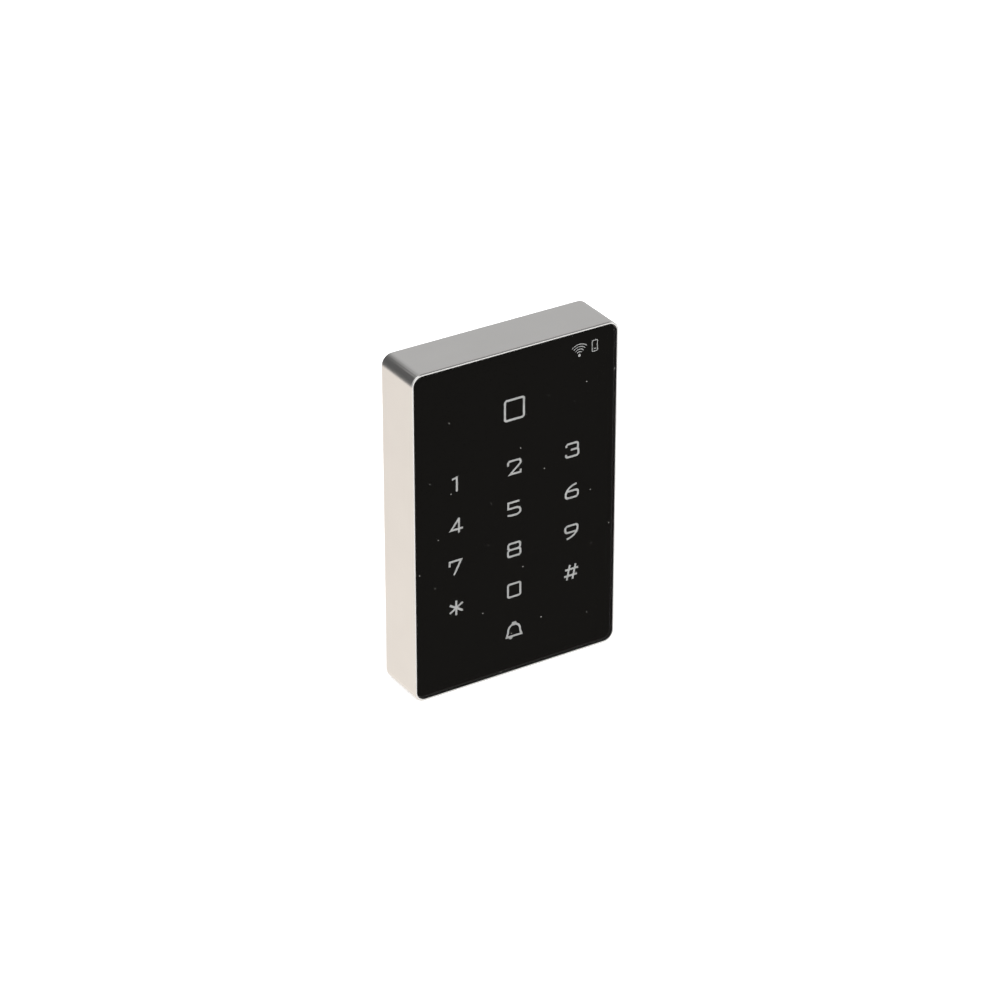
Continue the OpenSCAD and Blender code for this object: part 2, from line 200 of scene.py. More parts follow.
def round_rim(piece, y, width, segments):
    """Bevels or rounds the outline of the flat end at depth y."""
    round_outline(piece, lambda c, n: abs(c.y - y) < TINY and abs(n.y) > 0.99, width, segments)


def modify(piece, kind, **settings):
    """Adds a modifier and applies it."""
    take(piece)
    modifier = piece.modifiers.new(kind.title(), kind)
    for key, value in settings.items():
        setattr(modifier, key, value)
    bpy.ops.object.modifier_apply(modifier=modifier.name)


def carve(piece, tool, operation="DIFFERENCE"):
    """Cuts a tool out of a piece, or joins it on, and throws the tool away."""
    modify(piece, "BOOLEAN", object=tool, operation=operation, solver="EXACT")
    bpy.data.objects.remove(tool)


def soften(piece, width, segments=2):
    """Breaks every sharp edge if it is given a width, and shades the rest smooth."""
    if width:
        modify(piece, "BEVEL", width=width, segments=segments, limit_method="ANGLE",
               angle_limit=math.radians(32), use_clamp_overlap=True, harden_normals=False)
    take(piece)
    bpy.ops.object.shade_smooth_by_angle(angle=math.radians(40))
    modify(piece, "WEIGHTED_NORMAL", weight=100, keep_sharp=True)


def copy_of(node, name):
    """A clean copy of a CAD node, with its loose triangles merged into flat faces."""
    deselect()
    piece = twin_of(NODES[node])
    piece.parent = None
    for key in list(piece.keys()):
        del piece[key]
    call(piece, name)
    edit(piece)
    bpy.ops.mesh.customdata_custom_splitnormals_clear()
    bpy.ops.mesh.select_all(action="SELECT")
    bpy.ops.mesh.remove_doubles(threshold=TINY)
    bpy.ops.mesh.dissolve_limited(angle_limit=math.radians(0.5))
    bpy.ops.object.mode_set(mode="OBJECT")
    return piece


def place(piece, body, node, *finishes):
    """Gives a finished piece its finishes and the body it rides on, and hides the CAD node that it stands
    for.
    """
    piece.data.materials.clear()
    for finish in finishes:
        piece.data.materials.append(finish)
    if body:
        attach(piece, body)
    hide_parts(node)


# ---- finishes ----

class Amount:
    """A number that changes over a surface. Arithmetic on it adds Math nodes."""

    def __init__(self, finish, socket):
        self.finish, self.socket = finish, socket

    def __add__(self, other):
        return self.finish.maths("ADD", self, other)

    def __sub__(self, other):
        return self.finish.maths("SUBTRACT", self, other)

    def __rsub__(self, other):
        return self.finish.maths("SUBTRACT", other, self)

    def __mul__(self, other):
        return self.finish.maths("MULTIPLY", self, other)

    __radd__ = __add__


class Finish:
    """A node tree for a material or for the world, with the few nodes that finishes are made of."""

    def __init__(self, name, world=False):
        self.data = bpy.data.worlds.new(name) if world else bpy.data.materials.new(name)
        self.data.use_nodes = True
        self.tree = self.data.node_tree
        self.tree.nodes.clear()
        kind = "ShaderNodeOutputWorld" if world else "ShaderNodeOutputMaterial"
        self.output = self.tree.nodes.new(kind)
        self.surface = None if world else self.node("ShaderNodeBsdfPrincipled")
        if not world:
            self.show(self.surface.outputs[0])

    def node(self, kind, settings=None, sockets=None):
        made = self.tree.nodes.new(kind)
        for key, value in (settings or {}).items():
            setattr(made, key, value)
        for key, value in (sockets or {}).items():
            self.feed(made.inputs[key], value)
        return made

    def feed(self, socket, value):
        """Sets a socket to a value, or links an amount or another socket to it."""
        if isinstance(value, Amount):
            value = value.socket
        if isinstance(value, bpy.types.NodeSocket):
            self.tree.links.new(value, socket)
        else:
            socket.default_value = value

    def show(self, shader):
        self.tree.links.new(shader, self.output.inputs["Surface"])

    def maths(self, operation, *values):
        made = self.node("ShaderNodeMath", {"operation": operation}, dict(enumerate(values)))
        return Amount(self, made.outputs[0])

    def spot(self, stretch=(1, 1, 1), turn=(0, 0, 0)):
        """Object coordinates in millimetres, stretched and turned."""
        at = self.node("ShaderNodeTexCoord").outputs["Object"]
        scale = [1000 * s for s in stretch]
        made = self.node("ShaderNodeMapping", {}, {"Vector": at, "Scale": scale, "Rotation": turn})
        return made.outputs[0]

    def noise(self, per_mm, detail=2.0, rough=0.5, stretch=(1, 1, 1)):
        """Cloudy noise from 0 to 1."""
        made = self.node("ShaderNodeTexNoise", {}, {"Vector": self.spot(stretch), "Scale": per_mm,
                                                    "Detail": detail, "Roughness": rough})
        return Amount(self, made.outputs[0])

    def dots(self, per_mm):
        """Distance from dots scattered over the front, one in every cell."""
        front = self.spot(turn=(math.pi / 2, 0, 0))
        made = self.node("ShaderNodeTexVoronoi", {"voronoi_dimensions": "2D"},
                         {"Vector": front, "Scale": per_mm})
        return Amount(self, made.outputs["Distance"])

    def step(self, amount, start, end):
        """0 before start and 1 after end, with a soft change between."""
        made = self.node("ShaderNodeMapRange", {"interpolation_type": "SMOOTHSTEP"},
                         {"Value": amount, "From Min": start, "From Max": end})
        return Amount(self, made.outputs[0])

    def blend(self, amount, first, second):
        """A colour between two others."""
        made = self.node("ShaderNodeMix", {"data_type": "RGBA"})
        self.feed(made.inputs[0], amount)
        self.feed(made.inputs[6], first)
        self.feed(made.inputs[7], second)
        return made.outputs[2]

    def relief(self, height, depth_mm, strength=1.0):
        """Raises the surface by an amount of 0 to 1 times a depth."""
        made = self.node("ShaderNodeBump", {}, {"Height": height, "Distance": depth_mm * MM,
                                                "Strength": strength})
        self.feed(self.surface.inputs["Normal"], made.outputs[0])

    def set(self, **values):
        """Feeds the surface's sockets, each by a short name."""
        names = {"base": "Base Color", "rough": "Roughness", "metal": "Metallic", "coat": "Coat Weight",
                 "ior": "IOR", "specular": "Specular IOR Level", "through": "Transmission Weight",
                 "glow": "Emission Color", "glow_by": "Emission Strength"}
        for key, value in values.items():
            self.feed(self.surface.inputs[names[key]], value)
        return self.data


def rgb(r, g, b):
    return (r, g, b, 1)


def blasted_metal():
    """Fine bead-blasted, clear anodised metal."""
    f = Finish("anodised_metal")
    grain = f.noise(5.5, 3, 0.65)
    cloud = f.noise(0.05, 2)
    f.relief(grain, 0.012, 0.55)
    base = f.blend(cloud * 0.6 + grain * 0.4, rgb(0.70, 0.69, 0.675), rgb(0.80, 0.79, 0.775))
    return f.set(base=base, metal=1.0, rough=0.29 + grain * 0.1)


def cut_metal(name, shade, metal, rough):
    """The rim round the glass, cut bright after blasting."""
    f = Finish(name)
    lines = f.noise(2.0, 2, 0.5, (1, 14, 1))
    f.relief(lines, 0.003, 0.4)
    return f.set(base=rgb(shade, shade * 0.99, shade * 0.97), metal=metal, rough=rough + lines * 0.12)


def clear_glass():
    """Clear glass with a few specks of dust on it. Lamps shine through it onto the print behind."""
    f = Finish("cover_glass")
    f.set(base=rgb(1, 1, 1), rough=0.0, ior=1.5, through=1.0)
    lamp = f.node("ShaderNodeLightPath").outputs["Is Shadow Ray"]
    clear = f.node("ShaderNodeBsdfTransparent", {}, {"Color": rgb(0.9, 0.91, 0.9)})
    sheet = f.node("ShaderNodeMixShader", {}, {"Fac": lamp, 1: f.surface.outputs[0], 2: clear.outputs[0]})
    specks = 1 - f.step(f.dots(0.055), 0.006, 0.013)
    sparse = f.step(f.noise(0.07, 1), 0.42, 0.5)
    dust = f.node("ShaderNodeBsdfDiffuse", {}, {"Color": rgb(0.5, 0.49, 0.47)})
    dusty = f.node("ShaderNodeMixShader", {}, {"Fac": specks * sparse * 0.6, 1: sheet.outputs[0],
                                               2: dust.outputs[0]})
    f.show(dusty.outputs[0])
    return f.data


def painted_shade_edge():
    """The ground edge of the glass, painted black: painted shade for the dark gap round the glass."""
    f = Finish("glass_edge_painted_shade")
    grind = f.noise(6, 2, 0.5, (1, 0.3, 1))
    f.relief(grind, 0.004)
    return f.set(base=rgb(0.01, 0.01, 0.01), rough=0.25 + grind * 0.15, specular=0.35)


def black_print():
    """Black ink bonded to the back of the glass."""
    f = Finish("black_print")
    cloud = f.noise(0.3, 3)
    f.set(base=f.blend(cloud, rgb(0.0025, 0.0025, 0.0022), rgb(0.004, 0.004, 0.0035)),
          rough=0.5 + cloud * 0.1, specular=0.0)
    return f.data


def plain(name, colour, rough, metal=0.0, grain=0.0, per_mm=4.0, shift=0.06, coat=0.0):
    """A finish with a slight change of colour and gloss and a fine grain."""
    f = Finish(name)
    speckle = f.noise(per_mm, 3, 0.6)
    cloud = f.noise(0.12, 2)
    dark = [c * (1 - shift) for c in colour]
    light = [min(1, c * (1 + shift)) for c in colour]
    base = f.blend(cloud * 0.5 + speckle * 0.5, rgb(*dark), rgb(*light))
    if grain:
        f.relief(speckle, grain)
    return f.set(base=base, metal=metal, rough=rough + (speckle - 0.5) * 0.12, coat=coat)


def finish_for(slot):
    """The finish of each of the record's material slots."""
    made = {
        "anodised_metal": blasted_metal,
        "black_glass": clear_glass,
        "black_print": black_print,
        "diffuser": lambda: plain("diffuser_film", (0.355, 0.355, 0.35), 0.6, shift=0.02),
        "bonding_tape": lambda: plain("bonding_tape", (0.03, 0.03, 0.03), 0.8, grain=0.03),
        "clear_guide": lambda: plain("clear_guide", (0.78, 0.80, 0.80), 0.12, shift=0.02),
        "board_green": lambda: plain("board_green", (0.015, 0.12, 0.055), 0.35, coat=0.4),
        "copper": lambda: plain("copper", (0.72, 0.36, 0.18), 0.3, 1.0),
        "led_body": lambda: plain("led_body", (0.80, 0.76, 0.55), 0.35),
        "screw_steel": lambda: plain("screw_steel", (0.60, 0.60, 0.59), 0.28, 1.0),
        "chip_black": lambda: plain("chip_black", (0.02, 0.02, 0.022), 0.55, grain=0.01),
        "module_blue": lambda: plain("module_blue", (0.01, 0.04, 0.12), 0.3, coat=0.4),
        "tin_plate": lambda: plain("tin_plate", (0.70, 0.69, 0.66), 0.3, 1.0),
        "relay_blue": lambda: plain("relay_blue", (0.02, 0.07, 0.25), 0.35),
        "black_plastic": lambda: plain("black_plastic", (0.018, 0.018, 0.018), 0.45, grain=0.01),
        "can_metal": lambda: plain("can_metal", (0.70, 0.70, 0.70), 0.3, 1.0),
        "header_green": lambda: plain("header_green", (0.02, 0.18, 0.07), 0.4, grain=0.01),
        "contact_tin": lambda: plain("contact_tin", (0.72, 0.70, 0.64), 0.3, 1.0),
        "small_part_mix": lambda: plain("small_part_mix", (0.25, 0.17, 0.11), 0.45),
        "ferrite_grey": lambda: plain("ferrite_grey", (0.05, 0.05, 0.052), 0.6, grain=0.01),
        "button_white": lambda: plain("button_white", (0.70, 0.70, 0.68), 0.4),
        "cover_black": lambda: plain("cover_black", (0.022, 0.022, 0.023), 0.48, grain=0.02, per_mm=5),
        "rubber_black": lambda: plain("rubber_black", (0.014, 0.014, 0.014), 0.75, grain=0.01),
        "plunger_white": lambda: plain("plunger_white", (0.68, 0.68, 0.66), 0.4),
        "spring_steel": lambda: plain("spring_steel", (0.55, 0.55, 0.56), 0.25, 1.0),
        "zinc_steel": lambda: plain("zinc_steel", (0.50, 0.50, 0.50), 0.4, 1.0, per_mm=0.5, shift=0.12),
    }
    return made[slot]()


FINISHES = {s["slot"]: finish_for(s["slot"]) for s in frame["record"]["materials"]}
FLAT_RIM = cut_metal("bright_rim", 0.62, 0.35, 0.4)
BEVEL = cut_metal("bright_bevel", 0.72, 1.0, 0.16)
# the black glass edge is painted shade: it stands in for the dark gap between the rim and the glass
SHADED_EDGE = painted_shade_edge()
for node, slot in SLOTS.items():
    shown = NODES[node].data.materials
    shown.clear()
    shown.append(FINISHES[slot])


def finish_of(node):
    return FINISHES[SLOTS[node]]


# ---- the glass and the frame ----

FRAME_CORNER = 4 * MM
FRONT_BEVEL = 0.3 * MM
GLASS_GAP = 0.3 * MM
RIM = low("cover_glass").x - GLASS_GAP - low("housing_frame").x
POCKET_DEEP = 2.45 * MM
WALL = 1.6 * MM
# depths of the floor of the rear bay and of the lock screw's axis
BAY = -8.2 * MM
LOCK_Y = -5 * MM
# posts for the cover screws, in mm: distance from the middle, radius, and each pair's height and wall
POST_X = 32.4
POST_R = 3
POSTS = ((53.4, 57.4), (-47.6, -51.6))
# places of the board screws in mm
BOARD_SCREW_X = (-32.9, 32.9)
BOARD_SCREW_Z = (25, -22)


def make_glass():
    """A sheet with rounded corners, a rounded front edge and a ground back edge."""
    a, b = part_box("cover_glass")
    piece = block("glass_sheet", a, b)
    round_corners(piece, FRAME_CORNER - RIM - GLASS_GAP, 14)
    round_rim(piece, a.y, 0.2 * MM, 3)
    round_rim(piece, b.y, 0.25 * MM, 1)
    soften(piece, 0)
    place(piece, "reader", "cover_glass", FINISHES["black_glass"], SHADED_EDGE)
    # the sides and the ground back edge get the black edge finish, painted shade for the dark gap; the
    # rounded front edge does not
    for face in piece.data.polygons:
        face.material_index = 1 if -0.3 < face.normal.y < 0.95 else 0


def make_frame():
    """A rounded block, hollowed from the front for the glass and from the back for the rest."""
    a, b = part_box("housing_frame")
    piece = block("frame_shell", a, b)
    round_corners(piece, FRAME_CORNER, 16)
    round_rim(piece, b.y, 1.0 * MM, 5)
    round_rim(piece, a.y, FRONT_BEVEL, 1)
    # the flat rim and the pocket that holds the glass
    pick_faces(piece, lambda c, n: abs(c.y - a.y) < TINY)
    bpy.ops.mesh.inset(thickness=RIM - FRONT_BEVEL)
    bpy.ops.mesh.extrude_region_move(TRANSFORM_OT_translate={"value": (0, POCKET_DEEP, 0)})
    bpy.ops.object.mode_set(mode="OBJECT")
    ledge = low("main_board").y
    # room behind: bay for the cover, room for the board, window behind the glass
    tool = block("bay", (a.x + WALL, BAY, a.z + WALL), (b.x - WALL, 1 * MM, b.z - WALL))
    round_corners(tool, 2 * MM, 6)
    carve(piece, tool)
    carve(piece, block("room", (-35.4 * MM, ledge, -50.6 * MM), (35.4 * MM, BAY + 1 * MM, 56.4 * MM)))
    carve(piece, block("window", (-30.5 * MM, a.y + 1 * MM, -49 * MM),
                       (30.5 * MM, ledge + 1 * MM, 53 * MM)))
    # lock boss and the two ribs that hook over the bracket
    carve(piece, block("boss", (-5.5 * MM, BAY - 1 * MM, a.z + 1 * MM), (5.5 * MM, -0.8 * MM, -54.8 * MM)),
          "UNION")
    for x in (-20, 20):
        rib = block("rib", ((x - 8) * MM, -2.6 * MM, 56.4 * MM), ((x + 8) * MM, -1 * MM, b.z - 1 * MM))
        carve(piece, rib, "UNION")
    # corner posts for the cover screws, each with two webs to the walls
    for side in (-1, 1):
        x = side * POST_X * MM
        for z, wall in POSTS:
            post = bar("post", (x, ledge - 1 * MM, z * MM), (x, BAY, z * MM), POST_R * MM)
            carve(post, block("web", (side * (POST_X - POST_R) * MM, ledge - 1 * MM, z * MM),
                              (x, BAY, wall * MM)), "UNION")
            carve(post, block("web", (x, ledge - 1 * MM, (z - POST_R if z > 0 else wall) * MM),
                              (side * (POST_X + 4) * MM, BAY, (wall if z > 0 else z + POST_R) * MM)),
                  "UNION")
            carve(piece, post, "UNION")
            carve(piece, bar("hole", (x, -13 * MM, z * MM), (x, 0, z * MM), 1.3 * MM, 24))
    # holes for the board screws
    for x in BOARD_SCREW_X:
        for z in BOARD_SCREW_Z:
            carve(piece, bar("hole", (x * MM, ledge - 1.9 * MM, z * MM), (x * MM, BAY, z * MM),
                             1.05 * MM, 24))
    # lightening pockets on both sides of the lock boss, then the lock screw's recess and hole
    for x in (-22, 22):
        carve(piece, block("pocket", ((x - 13) * MM, -13 * MM, -57.7 * MM),
                           ((x + 13) * MM, 0, -53.3 * MM)))
    carve(piece, bar("recess", (0, LOCK_Y, a.z - 1 * MM), (0, LOCK_Y, -56 * MM), 3 * MM))
    carve(piece, bar("clear", (0, LOCK_Y, a.z - 1 * MM), (0, LOCK_Y, -53 * MM), 1.7 * MM, 32))
    soften(piece, 0.07 * MM, 2)
    place(piece, "reader", "housing_frame", FINISHES["anodised_metal"], FLAT_RIM, BEVEL)
    for face in piece.data.polygons:
        if face.normal.y < -0.2 and face.center.y < a.y + FRONT_BEVEL:
            face.material_index = 1 if face.normal.y < -0.9 else 2


# ---- pieces whose edges are moulded, pressed or machined soft ----

# node: name of the piece, width of the broken edges in mm, segments across them
SOFT_EDGES = {
    "rear_cover": ("moulded_cover", 0.25, 3),
    "cable_grommet": ("rubber_grommet", 0.3, 3),
    "rear_gasket": ("foam_gasket", 0.08, 2),
    "wall_bracket": ("pressed_bracket", 0.12, 2),
    "tamper_plunger": ("plunger_rod", 0.14, 2),
    "lock_ring": ("retaining_ring", 0.1, 2),
    "light_guide": ("light_guide_plate", 0.1, 2),
    "main_board": ("circuit_board", 0.06, 1),
    "wireless_module": ("radio_board", 0.05, 1),
    "relay": ("relay_case", 0.35, 3),
    "wire_header": ("push_in_header", 0.12, 2),
    "tamper_switch": ("switch_body", 0.15, 2),
    "switch_button": ("switch_cap", 0.12, 3),
    "crystal": ("crystal_can", 0.3, 3),
    "touch_pads": ("pad_plates", 0.01, 1),
    "small_parts": ("chip_resistors", 0.06, 1),
    "ferrite_sheet": ("ferrite_tile", 0.08, 1),
    "header_pins": ("header_contacts", 0.15, 2),
}


def make_soft_pieces():
    for node, (name, width, segments) in SOFT_EDGES.items():
        piece = copy_of(node, name)
        soften(piece, width * MM, segments)
        place(piece, BODIES[node], node, finish_of(node))


# ---- screws ----

def cross_recess(name, at, width, depth, thick):
    """A tool for a cross recess that narrows with depth, opening towards +Y at a point."""
    tool = None
    for w, h in ((width, thick), (thick, width)):
        arm = block(name, at - Vector((w / 2, depth, h / 2)), at + Vector((w / 2, depth, h / 2)))
        pick_faces(arm, lambda c, n: n.y < -0.9)
        bpy.ops.transform.resize(value=(0.45, 1, 0.45))
        bpy.ops.object.mode_set(mode="OBJECT")
        if tool:
            carve(tool, arm, "UNION")
        else:
            tool = arm
    return tool


def coil(name, foot, length, radius, wire, turns, sides=12, per_turn=32):
    """A round wire wound along -Y from a point, closed at both ends."""
    deselect()
    bpy.ops.mesh.primitive_circle_add(vertices=sides, radius=wire)
    piece = bpy.context.object
    piece.name = name
    edit(piece)
    bpy.ops.mesh.select_all(action="SELECT")
    bpy.ops.transform.rotate(value=math.pi / 2, orient_axis="X", center_override=(0, 0, 0))
    bpy.ops.transform.translate(value=(radius, 0, 0))
    bpy.ops.object.mode_set(mode="OBJECT")
    modify(piece, "SCREW", axis="Z", angle=turns * 2 * math.pi, screw_offset=length,
           steps=int(turns * per_turn), render_steps=int(turns * per_turn), use_merge_vertices=False)
    edit(piece)
    bpy.ops.mesh.select_all(action="SELECT")
    bpy.ops.mesh.fill_holes(sides=sides)
    bpy.ops.mesh.select_all(action="SELECT")
    bpy.ops.mesh.normals_make_consistent(inside=False)
    bpy.ops.object.mode_set(mode="OBJECT")
    piece.rotation_euler = (math.pi / 2, 0, 0)
    piece.location = foot
    fix_place(piece)
    soften(piece, 0)
    return piece


def join(pieces, name):
    deselect()
    for piece in pieces:
        piece.select_set(True)
    bpy.context.view_layer.objects.active = pieces[0]
    bpy.ops.object.join()
    call(pieces[0], name)
    return pieces[0]


def pan_screw(name, x, z, back, front, head, shank, head_deep):
    """A pan head screw whose head faces the wall at depth back, with its tip at depth front."""
    rim = back - head_deep
    piece = bar(name, (x, back, z), (x, rim, z), head / 2, 40)
    round_rim(piece, back, head_deep * 0.55, 5)
    round_rim(piece, rim, 0.08 * MM, 1)
    carve(piece, cross_recess("recess", Vector((x, back, z)), head * 0.52, head_deep * 0.62, 0.55 * MM))
    core = bar("core", (x, rim + 0.2 * MM, z), (x, front, z), shank / 2 - 0.18 * MM, 24)
    round_rim(core, front, shank * 0.2, 2)
    soften(piece, 0)
    soften(core, 0)
    long = rim - front
    thread = coil("thread", (x, rim - 0.3 * MM, z), long - 1.2 * MM, shank / 2 - 0.2 * MM, 0.19 * MM,
                  (long - 1.2 * MM) / PITCH, 6, 20)
    return join([piece, core, thread], name)


# node, name, and in mm the head's width, the shank's width and the head's depth
SCREW_SETS = (("cover_screws", "cover_screw_set", 4.5, 2.5, 1.6),
              ("board_screws", "board_screw_set", 4.0, 2.0, 1.2))
PITCH = 0.5 * MM


def make_screws():
    """Each set is one screw and three copies of it, at the corners of the set's box."""
    for node, name, head, shank, deep in SCREW_SETS:
        a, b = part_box(node)
        xs = (a.x + head * MM / 2, b.x - head * MM / 2)
        zs = (a.z + head * MM / 2, b.z - head * MM / 2)
        first = pan_screw(name, xs[0], zs[0], b.y, a.y, head * MM, shank * MM, deep * MM)
        copies = [first]
        for x, z in ((xs[0], zs[1]), (xs[1], zs[0]), (xs[1], zs[1])):
            twin = twin_of(first)
            twin.location = (x - xs[0], 0, z - zs[0])
            fix_place(twin)
            copies.append(twin)
        place(join(copies, name), "reader", node, finish_of(node))


def make_lock_screw():
    """A pin-in-hexagon head below and a threaded shank that points up."""
    a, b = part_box("lock_screw")
    mid = middle("lock_screw")
    head_top = a.z + 1.6 * MM
    core_r = 1.3 * MM

    def upright(name, bottom, top, radius, sides):
        return bar(name, (mid.x, mid.y, bottom), (mid.x, mid.y, top), radius, sides)

    head = upright("lock_screw_head", a.z, head_top, 2.75 * MM, 48)
    round_outline(head, lambda c, n: abs(n.z) > 0.9, 0.22 * MM, 3)
    carve(head, upright("socket", a.z - 1 * MM, a.z + 1 * MM, 1.45 * MM, 6))
    carve(head, upright("pin", a.z + 0.15 * MM, a.z + 1.2 * MM, 0.45 * MM, 20), "UNION")
    core = upright("core", head_top - 0.2 * MM, b.z, core_r, 32)
    round_outline(core, lambda c, n: n.z > 0.9, 0.3 * MM, 2)
    soften(head, 0)
    soften(core, 0)
    rise = b.z - head_top - 1.5 * MM
    thread = coil("thread", (0, 0, 0), rise, core_r, 0.19 * MM, rise / PITCH, 6, 28)
    thread.rotation_euler = (-math.pi / 2, 0, 0)
    thread.location = (mid.x, mid.y, head_top + 1.0 * MM)
    fix_place(thread)
    place(join([head, core, thread], "security_screw"), "screw", "lock_screw", finish_of("lock_screw"))


def make_spring():
    """A coil spring between the reader and the plunger."""
    a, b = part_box("tamper_spring")
    mid = middle("tamper_spring")
    wire = 0.25 * MM
    piece = coil("plunger_spring", (mid.x, b.y - wire, mid.z), b.y - a.y - 2 * wire, (b.x - a.x) / 2 - wire,
                 wire, 4.5, 14, 48)
    place(piece, None, "tamper_spring", finish_of("tamper_spring"))
    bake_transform(piece)


# ---- electronics ----

LEG_REACH = 0.7 * MM
LEG_THICK = 0.13 * MM
LEG_WIDE = 0.22 * MM
LEG_PITCH = 0.55 * MM


def leg(root, out, drop):
    """One bent leg, from a point on a package's side outwards along X, out being 1 or -1, and down."""
    x, y, z = root
    piece = block("leg", (x, y - LEG_THICK / 2, z - LEG_WIDE / 2),
                  (x + out * LEG_REACH * 0.35, y + LEG_THICK / 2, z + LEG_WIDE / 2))
    pick_faces(piece, lambda c, n: n.x * out > 0.9)
    for step in ((out * LEG_REACH * 0.2, -drop, 0), (out * LEG_REACH * 0.45, 0, 0)):
        bpy.ops.mesh.extrude_region_move(TRANSFORM_OT_translate={"value": step})
    bpy.ops.object.mode_set(mode="OBJECT")
    return piece


def make_chip(node, name, count):
    """A flat package with a dot by its first leg, and as a second piece the legs on its four sides."""
    a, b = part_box(node)
    mid = middle(node)
    board = a.y
    left, right = a.x + LEG_REACH, b.x - LEG_REACH
    body = block(name, (left, board + 0.1 * MM, a.z + LEG_REACH), (right, b.y, b.z - LEG_REACH))
    round_corners(body, 0.25 * MM, 2)
    round_rim(body, b.y, 0.12 * MM, 2)
    dot = (left + LEG_REACH, b.z - LEG_REACH * 2)
    carve(body, bar("dot", (dot[0], b.y - 0.08 * MM, dot[1]), (dot[0], b.y + 1 * MM, dot[1]), 0.3 * MM, 20))
    soften(body, 0)
    half = (b.y - board) / 2
    legs = []
    for side, edge in ((-1, left), (1, right)):
        for i in range(count):
            z = mid.z + (i - (count - 1) / 2) * LEG_PITCH
            legs.append(leg((edge, board + half, z), side, half - LEG_THICK / 2))
    turned = join([twin_of(piece) for piece in legs], "turned_legs")
    edit(turned)
    bpy.ops.mesh.select_all(action="SELECT")
    bpy.ops.transform.rotate(value=math.pi / 2, orient_axis="Y", center_override=mid)
    bpy.ops.object.mode_set(mode="OBJECT")
    legs = join(legs + [turned], name + "_legs")
    legs.data.materials.clear()
    legs.data.materials.append(FINISHES["contact_tin"])
    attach(legs, "reader")
    place(body, "reader", node, finish_of(node))
    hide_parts(node)


def make_shield():
    """A tin cover with rows of shallow vents."""
    a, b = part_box("module_shield")
    piece = block("shield_can", a, b)
    round_corners(piece, 0.6 * MM, 4)
    round_rim(piece, b.y, 0.22 * MM, 3)
    rows = 5
    for i in range(rows):
        for j in range(rows):
            x = a.x + (b.x - a.x) * (i + 1) / (rows + 1)
            z = a.z + (b.z - a.z) * (j + 1) / (rows + 1)
            carve(piece, bar("vent", (x, b.y - 0.15 * MM, z), (x, b.y + 1 * MM, z), 0.28 * MM, 12))
    soften(piece, 0)
    place(piece, "reader", "module_shield", finish_of("module_shield"))


def make_capacitors():
    """Two cans on plastic bases, with a cross scored in the top of each."""
    a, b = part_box("capacitors")
    mid_x = (a.x + b.x) / 2
    wide = b.x - a.x
    pieces = []
    for z in (a.z + wide / 2, b.z - wide / 2):
        base = block("base", (a.x, a.y, z - wide / 2), (b.x, a.y + 0.8 * MM, z + wide / 2))
        round_corners(base, 0.5 * MM, 1)
        can = bar("can", (mid_x, a.y + 0.5 * MM, z), (mid_x, b.y, z), 3.15 * MM, 40)
        round_rim(can, b.y, 0.35 * MM, 4)
        for across, up in ((0.12 * MM, 2 * MM), (2 * MM, 0.12 * MM)):
            carve(can, block("score", (mid_x - across, b.y - 0.1 * MM, z - up),
                             (mid_x + across, b.y + 1 * MM, z + up)))
        soften(base, 0.06 * MM)
        soften(can, 0)
        pieces += [base, can]
    place(join(pieces, "capacitor_pair"), "reader", "capacitors", finish_of("capacitors"))


def make_inductor():
    """A square ferrite frame with a round core in its well."""
    a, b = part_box("inductor")
    mid = middle("inductor")
    piece = block("power_inductor", a, b)
    round_corners(piece, 1.4 * MM, 5)
    round_rim(piece, b.y, 0.25 * MM, 3)
    carve(piece, bar("well", (mid.x, b.y - 0.6 * MM, mid.z), (mid.x, b.y + 1 * MM, mid.z), 2.7 * MM, 40))
    core = bar("core", (mid.x, b.y - 1.2 * MM, mid.z), (mid.x, b.y - 0.12 * MM, mid.z), 2.2 * MM, 40)
    round_rim(core, b.y - 0.12 * MM, 0.15 * MM, 3)
    soften(piece, 0)
    soften(core, 0)
    place(join([piece, core], "power_inductor"), "reader", "inductor", finish_of("inductor"))


def make_buzzer():
    """A round case with a sound port and a ring pressed into its top."""
    a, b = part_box("buzzer")
    mid = middle("buzzer")
    piece = bar("sounder", (mid.x, a.y, mid.z), (mid.x, b.y, mid.z), (b.x - a.x) / 2, 64)
    round_rim(piece, b.y, 0.5 * MM, 4)
    tool = bar("port", (mid.x, b.y - 1.0 * MM, mid.z), (mid.x, b.y + 1 * MM, mid.z), 1.2 * MM, 32)
    carve(piece, tool)
    ring = bar("ring", (mid.x, b.y - 0.2 * MM, mid.z), (mid.x, b.y + 1 * MM, mid.z), 3.4 * MM, 48)
    carve(ring, bar("hub", (mid.x, b.y - 2 * MM, mid.z), (mid.x, b.y + 2 * MM, mid.z), 2.9 * MM, 48))
    carve(piece, ring)
    soften(piece, 0.05 * MM, 1)
    place(piece, "reader", "buzzer", finish_of("buzzer"))


def make_antenna():
    """Six flat turns of enamelled wire, laid side by side and stacked in three layers."""
    a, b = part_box("antenna_coil")
    turns, layers = 6, 3
    pitch = 3.0 * MM / turns
    wire = pitch * 0.94
    deep = (b.y - a.y) / layers
    corner = 5 * MM
    pieces = []
    for layer in range(layers):
        for turn in range(turns):
            outer = pitch * turn
            inner = outer + wire
            y = a.y + deep * layer
            piece = block("turn", (a.x + outer, y, a.z + outer), (b.x - outer, y + deep, b.z - outer))
            round_corners(piece, max(2.0 * MM, corner - outer), 6)
            hole = block("inner", (a.x + inner, y - deep, a.z + inner),
                         (b.x - inner, y + 2 * deep, b.z - inner))
            round_corners(hole, max(1.6 * MM, corner - inner), 6)
            carve(piece, hole)
            soften(piece, 0.12 * MM, 2)
            pieces.append(piece)
    place(join(pieces, "wound_coil"), "reader", "antenna_coil", finish_of("antenna_coil"))


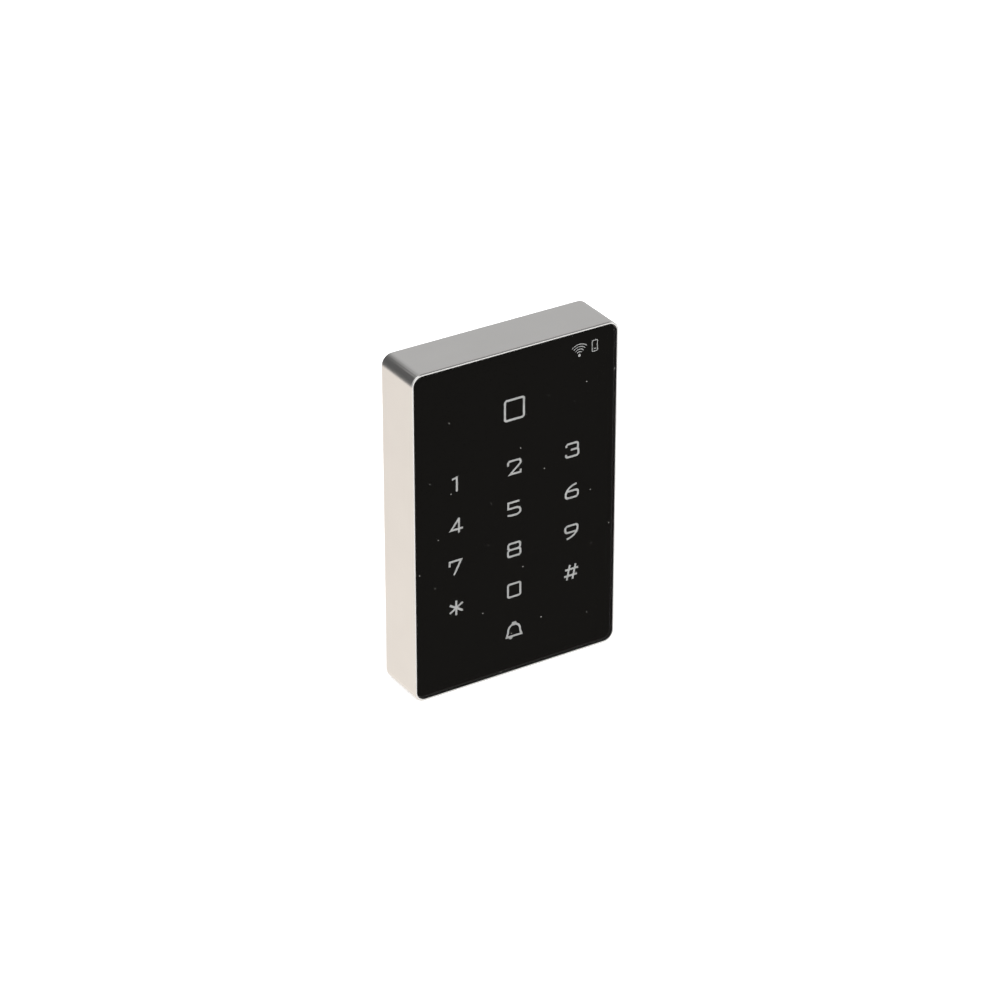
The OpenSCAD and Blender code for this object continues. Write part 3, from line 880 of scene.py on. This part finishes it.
make_glass()
make_frame()
make_soft_pieces()
make_screws()
make_lock_screw()
make_spring()
make_chip("processor_chip", "processor_package", 14)
make_chip("touch_chip", "touch_package", 9)
make_shield()
make_capacitors()
make_inductor()
make_buzzer()
make_antenna()


# ---- room, light and camera ----

def make_floor():
    """A white floor just under the reader."""
    deselect()
    bpy.ops.mesh.primitive_plane_add(size=8, location=(0, 0, CAD_BOX[0].z - 0.2 * MM))
    floor = settle("floor")
    f = Finish("white_sweep")
    cloud = f.noise(0.004, 2)
    f.set(base=f.blend(cloud, rgb(0.84, 0.84, 0.84), rgb(0.88, 0.88, 0.88)), rough=0.9, specular=0.0,
          glow=rgb(1, 1, 1), glow_by=0.42)
    floor.data.materials.append(f.data)
    floor.visible_glossy = False


def make_sky():
    """The room as polished surfaces see it: bright below, softer above, with a few darker places."""
    f = Finish("studio", world=True)
    way = f.node("ShaderNodeTexCoord").outputs["Generated"]

    def facing(x, y, z):
        """The cosine of the angle to a direction."""
        made = f.node("ShaderNodeVectorMath", {"operation": "DOT_PRODUCT"}, {0: way})
        made.inputs[1].default_value = Vector((x, y, z)).normalized()
        return Amount(f, made.outputs["Value"])

    up = facing(0, 0, 1)
    above = f.step(up, -0.36, -0.28)
    # what the glass mirrors, so that it looks black
    table = 1 - f.step(facing(0.474, -0.742, -0.474), 0.86, 0.97) * 0.87
    # dim towards the back left, which darkens the upper left corner, and bright towards the front
    dim = f.step(facing(-0.55, 0.75, 0.36), 0.55, 0.95)
    front = f.step(facing(0.25, -0.6, 0.75), 0.3, 0.9)
    air = 0.56 - dim * 0.46 + front * 0.6
    # two darker places that the bevel sees: one from its top, one from its right and its bottom
    over = 1 - f.step(facing(0.464, -0.482, 0.743), 0.85, 0.96) * 0.75
    under = 1 - f.step(facing(0.62, 0.48, -0.62), 0.84, 0.95) * 0.62
    strength = table * under * (1 - above) * 1.15 + air * over * above
    shade = f.blend(above, rgb(1.0, 0.93, 0.86), rgb(1, 1, 1))
    seen = f.node("ShaderNodeLightPath").outputs["Is Camera Ray"]
    colour = f.blend(seen, shade, rgb(1, 1, 1))
    power = strength * (1 - Amount(f, seen)) + Amount(f, seen)
    f.show(f.node("ShaderNodeBackground", {}, {"Color": colour, "Strength": power}).outputs[0])
    bpy.context.scene.world = f.data


def soft_light(name, spot, size, watts):
    """A square lamp that faces the origin and that no mirror and no glass shows."""
    deselect()
    turn = (-Vector(spot)).to_track_quat("-Z", "Y").to_euler()
    bpy.ops.object.light_add(type="AREA", location=spot, rotation=turn)
    lamp = bpy.context.object
    lamp.name = name
    lamp.data.shape = "SQUARE"
    lamp.data.size = size
    lamp.data.energy = watts
    lamp.visible_glossy = False
    lamp.visible_transmission = False


def make_camera():
    """It stands in front, to the left and above, and looks at a point close to the middle."""
    turn = math.radians(-32.0)
    rise = math.radians(28.8)
    back = Vector((math.sin(turn) * math.cos(rise), -math.cos(turn) * math.cos(rise), math.sin(rise)))
    aim = Vector((5.92, 0, -5.94)) * MM
    deselect()
    bpy.ops.object.camera_add(location=aim + back * 1.3045,
                              rotation=back.to_track_quat("Z", "Y").to_euler())
    camera = bpy.context.object
    camera.data.sensor_width = 36
    camera.data.lens = 142.2
    camera.data.clip_start = 0.01
    bpy.context.scene.camera = camera


make_floor()
make_sky()
soft_light("front_light", (-0.7, -1.3, 1.0), 0.9, 22)
soft_light("top_light", (0.4, -0.2, 1.6), 1.2, 20)
make_camera()
bpy.context.scene.view_settings.view_transform = "Standard"
